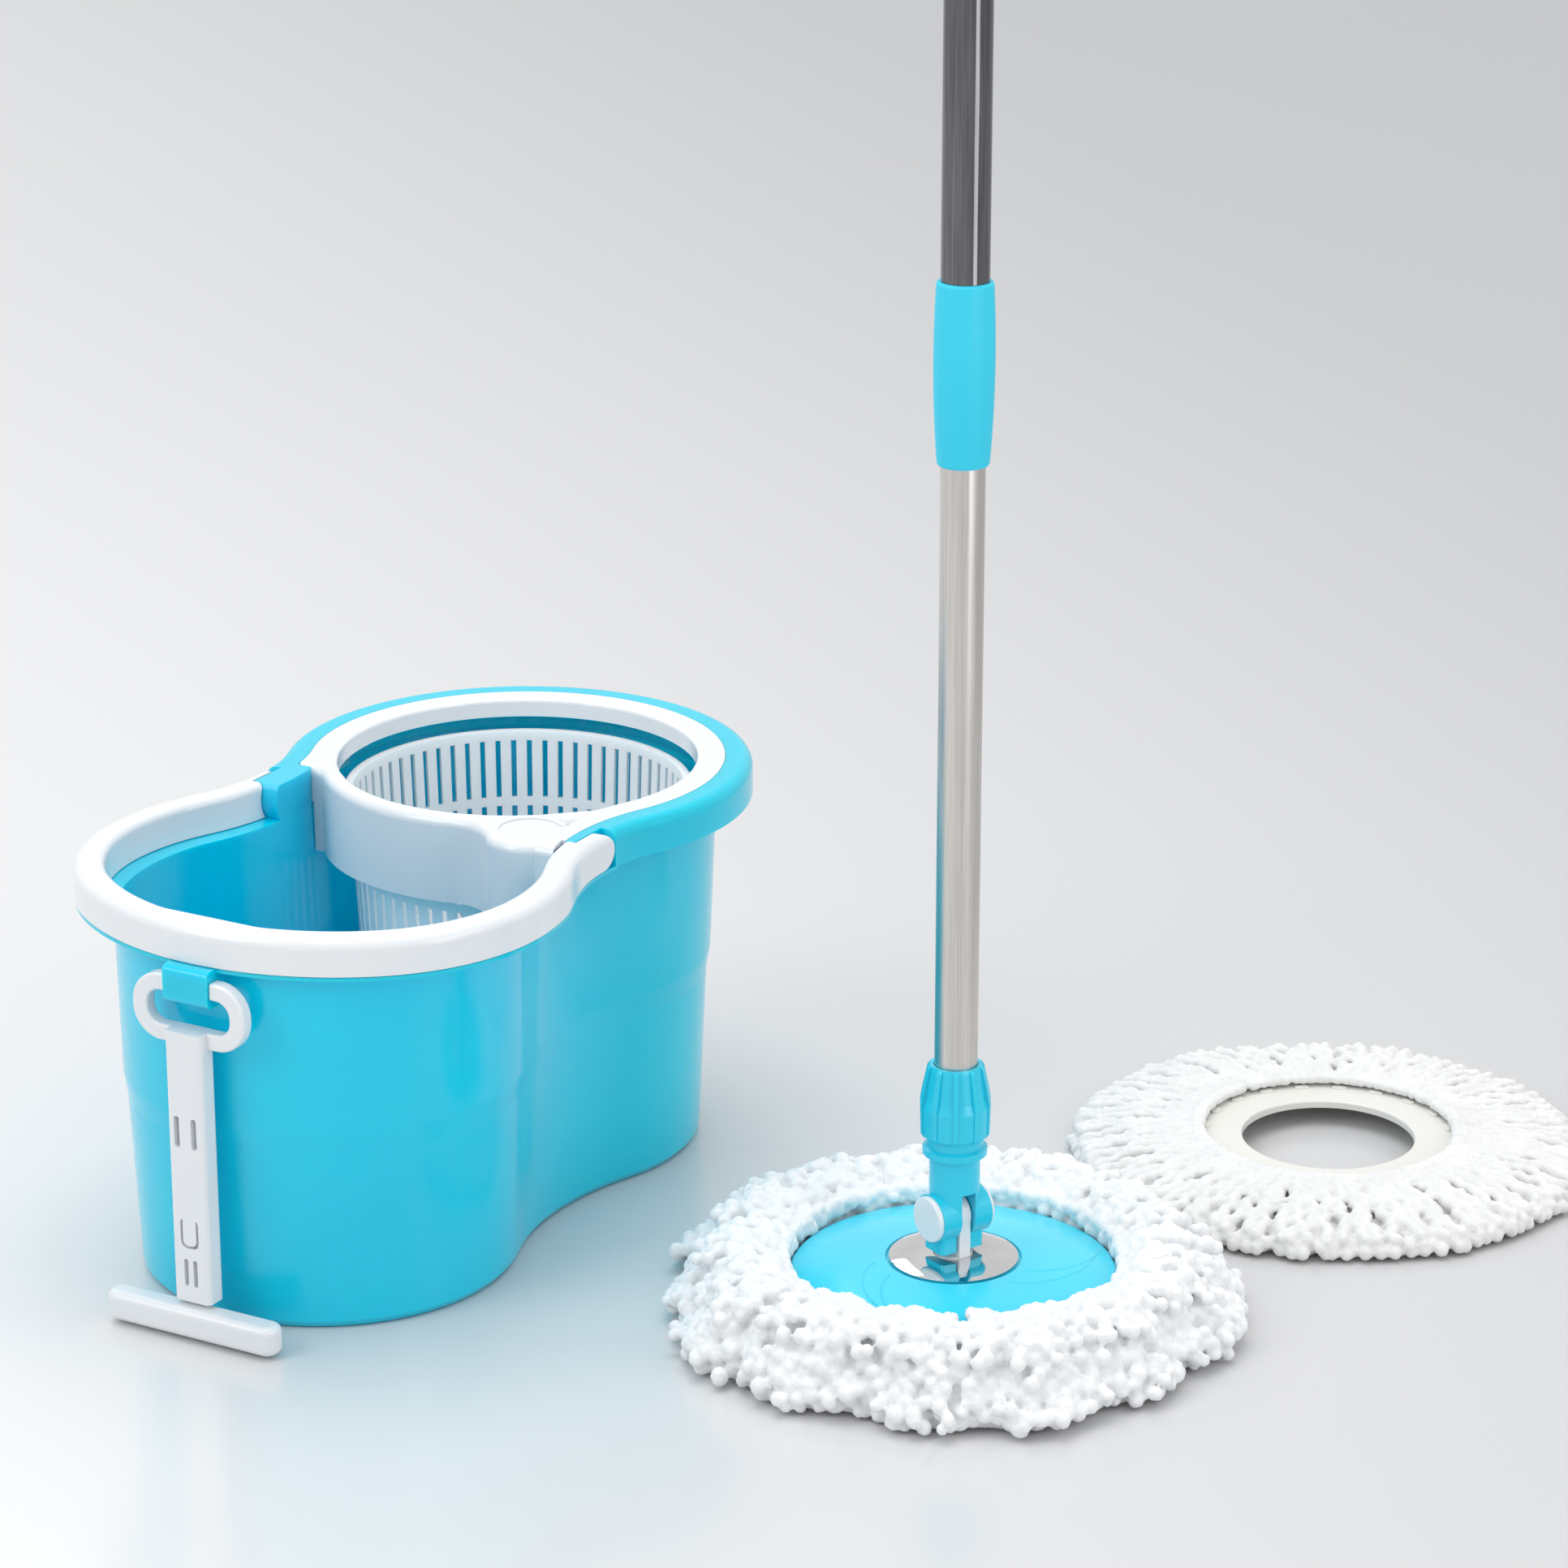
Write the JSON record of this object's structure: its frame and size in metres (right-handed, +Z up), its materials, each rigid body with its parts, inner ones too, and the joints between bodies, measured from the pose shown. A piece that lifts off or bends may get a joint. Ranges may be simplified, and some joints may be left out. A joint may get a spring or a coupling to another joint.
{
  "type": "spin mop with wringer bucket",
  "caption": "Two-well mop bucket with a spinning wringer basket and a swing handle, a twist-lock round-head mop that tilts and spins, and a spare strand ring.",
  "frame": {"origin": "on the floor under the middle of the bucket's rim", "axes": "+X along the bucket from the water well to the wringer basket, +Z up, mop and spare ring on the -Y side"},
  "size_m": [0.6459, 0.6885, 1.186],
  "materials": {
    "turquoise_plastic": "glossy injection-moulded turquoise plastic",
    "white_plastic": "glossy cool white plastic",
    "cyan_plastic": "satin cyan plastic",
    "light_cyan_plastic": "satin light cyan plastic",
    "cyan_grip": "satin bright cyan plastic",
    "grey_plastic": "matt grey plastic",
    "polished_steel": "polished stainless steel tube",
    "satin_steel": "satin stainless steel tube",
    "chrome_plate": "mirror chrome cover",
    "steel_parts": "plain steel pins and screws",
    "white_microfibre": "looped white microfibre strands"
  },
  "bodies": {
    "bucket": {"bucket_shell": "turquoise_plastic", "basket_holder": "white_plastic", "handle_pins": "steel_parts", "spindle_pin": "steel_parts", "roller_axles": "steel_parts"},
    "carry_bail": {"carry_handle": "white_plastic"},
    "basket": {"spin_basket": "white_plastic", "basket_base": "white_plastic", "basket_bush": "grey_plastic", "hub_cap": "white_plastic"},
    "tow_bar": {"tow_handle": "white_plastic", "tow_pins": "steel_parts"},
    "tow_slide_rod": {"tow_rod": "white_plastic", "tow_grip": "white_plastic"},
    "roller_l": {"roller_left": "grey_plastic"},
    "roller_r": {"roller_right": "grey_plastic"},
    "mop_lower": {"neck_fork": "cyan_plastic", "hinge_pin": "steel_parts", "hinge_caps": "white_plastic", "lower_tube": "satin_steel", "nut_seat": "grey_plastic"},
    "lock_ring": {"lock_collar": "cyan_plastic"},
    "stem": {"head_stem": "white_plastic"},
    "head": {"head_plate": "light_cyan_plastic", "chrome_cover": "chrome_plate", "swivel_retainer": "grey_plastic", "plate_screws": "steel_parts", "mop_ring": "white_plastic", "mop_strands": "white_microfibre"},
    "mop_upper": {"upper_tube": "polished_steel", "grip_sleeve": "cyan_grip", "drive_rod": "steel_parts", "rod_anchor": "grey_plastic", "end_cap": "cyan_grip"},
    "nut": {"drive_nut": "grey_plastic"},
    "refill": {"refill_ring": "white_plastic", "refill_strands": "white_microfibre"}
  },
  "joints": [
    {"name": "bail_swing", "type": "hinge", "parent": "bucket", "child": "carry_bail", "pos_m": [-0.002, 0, 0.21025], "axis": [0, 1, 0], "range_deg": [0, 90]},
    {"name": "basket_spin", "type": "hinge", "parent": "bucket", "child": "basket", "pos_m": [0.0888, 0, 0.1], "axis": [0, 0, 1], "continuous": true},
    {"name": "tow_swing", "type": "hinge", "parent": "bucket", "child": "tow_bar", "pos_m": [-0.2195, 0, 0.1895], "axis": [0, 1, 0], "range_deg": [0, 120]},
    {"name": "tow_extend", "type": "slide", "parent": "tow_bar", "child": "tow_slide_rod", "axis": [0, 0, -1], "range_m": [0, 0.12]},
    {"name": "roller_l_spin", "type": "hinge", "parent": "bucket", "child": "roller_l", "pos_m": [0.135, 0.042, 0.01], "axis": [0, 1, 0], "continuous": true},
    {"name": "roller_r_spin", "type": "hinge", "parent": "bucket", "child": "roller_r", "pos_m": [0.135, -0.042, 0.01], "axis": [0, 1, 0], "continuous": true},
    {"name": "mop_lift", "type": "slide", "parent": "bucket", "child": "mop_lower", "axis": [0, 0, 1], "range_m": [0, 0.35]},
    {"name": "lock_twist", "type": "hinge", "parent": "mop_lower", "child": "lock_ring", "pos_m": [-0.0207, -0.3278, 0.12], "axis": [0, 0, 1], "range_deg": [0, 60]},
    {"name": "head_tilt", "type": "hinge", "parent": "mop_lower", "child": "stem", "pos_m": [-0.0207, -0.3278, 0.06], "axis": [0.8988, -0.4384, 0], "range_deg": [-90, 90]},
    {"name": "head_spin", "type": "hinge", "parent": "stem", "child": "head", "pos_m": [-0.0207, -0.3278, 0.03], "axis": [0, 0, 1], "continuous": true},
    {"name": "handle_press", "type": "slide", "parent": "mop_lower", "child": "mop_upper", "axis": [0, 0, -1], "range_m": [0, 0.28]},
    {"name": "nut_turn", "type": "hinge", "parent": "mop_lower", "child": "nut", "pos_m": [-0.0207, -0.3278, 0.63], "axis": [0, 0, 1], "range_deg": [0, 800]},
    {"name": "refill_lift", "type": "slide", "parent": "bucket", "child": "refill", "axis": [0, 0, 1], "range_m": [0, 0.2]}
  ],
  "couplings": [
    {"joint": "nut_turn", "follows": "handle_press", "rad_per_m": 44.88}
  ]
}
